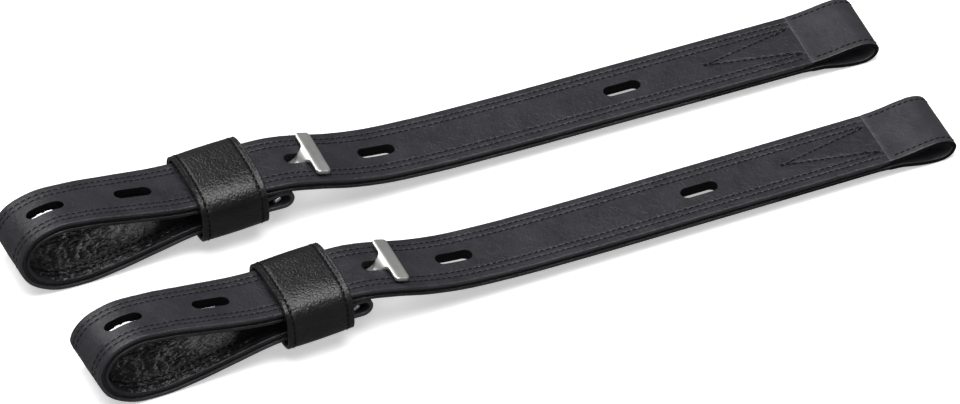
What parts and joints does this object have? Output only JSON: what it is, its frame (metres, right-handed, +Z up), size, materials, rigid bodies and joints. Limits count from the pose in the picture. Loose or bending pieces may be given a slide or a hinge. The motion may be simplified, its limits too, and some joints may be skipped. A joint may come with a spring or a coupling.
{
  "type": "stirrup strap pair",
  "caption": "Pair of short black leather stirrup straps, each looped back through a leather keeper to a steel T-hook, with a sewn end loop.",
  "frame": {"origin": "under the middle of the pair, on the ground it lies on", "axes": "+X along the straps towards the sewn end loops, +Y from the near strap to the far one, +Z up"},
  "size_m": [0.355, 0.1044, 0.0308],
  "materials": {
    "strap_leather": "smooth",
    "lining_leather": "grained",
    "webbing": "woven",
    "thread": "waxed",
    "band_leather": "smooth",
    "keeper_leather": "pebbled",
    "steel": "satin"
  },
  "bodies": {
    "far_strap": {"far_cover": "strap_leather", "far_lining": "lining_leather", "far_core": "webbing", "far_edge_stitching": "thread", "far_lining_stitching": "thread", "far_loop_band": "band_leather", "far_loop_stitching": "thread", "far_v_stitching": "thread", "far_fold": "strap_leather", "far_fold_stitching": "thread"},
    "far_hook_body": {"far_hook": "steel"},
    "far_keeper_body": {"far_keeper": "keeper_leather", "far_keeper_lining": "lining_leather", "far_keeper_stitching": "thread"},
    "near_strap": {"near_cover": "strap_leather", "near_lining": "lining_leather", "near_core": "webbing", "near_edge_stitching": "thread", "near_lining_stitching": "thread", "near_loop_band": "band_leather", "near_loop_stitching": "thread", "near_v_stitching": "thread", "near_fold": "strap_leather", "near_fold_stitching": "thread"},
    "near_hook_body": {"near_hook": "steel"},
    "near_keeper_body": {"near_keeper": "keeper_leather", "near_keeper_lining": "lining_leather", "near_keeper_stitching": "thread"}
  },
  "joints": [
    {"name": "near_strap_apart", "type": "slide", "parent": "far_strap", "child": "near_strap", "axis": [0, -1, 0], "range_m": [0, 0.06]},
    {"name": "far_hook_hinge", "type": "hinge", "parent": "far_strap", "child": "far_hook_body", "pos_m": [-0.07254, 0.0332, 0.0133], "axis": [0, -1, 0], "range_deg": [0, 4.5]},
    {"name": "far_keeper_slide", "type": "slide", "parent": "far_strap", "child": "far_keeper_body", "axis": [0.9986, 0, 0.0523], "range_m": [-0.004, 0.005]},
    {"name": "near_hook_hinge", "type": "hinge", "parent": "near_strap", "child": "near_hook_body", "pos_m": [-0.06803, -0.03265, 0.0133], "axis": [0.0192, -0.9998, 0], "range_deg": [0, 4.5]},
    {"name": "near_keeper_slide", "type": "slide", "parent": "near_strap", "child": "near_keeper_body", "axis": [0.9984, 0.0192, 0.0523], "range_m": [-0.004, 0.005]}
  ]
}
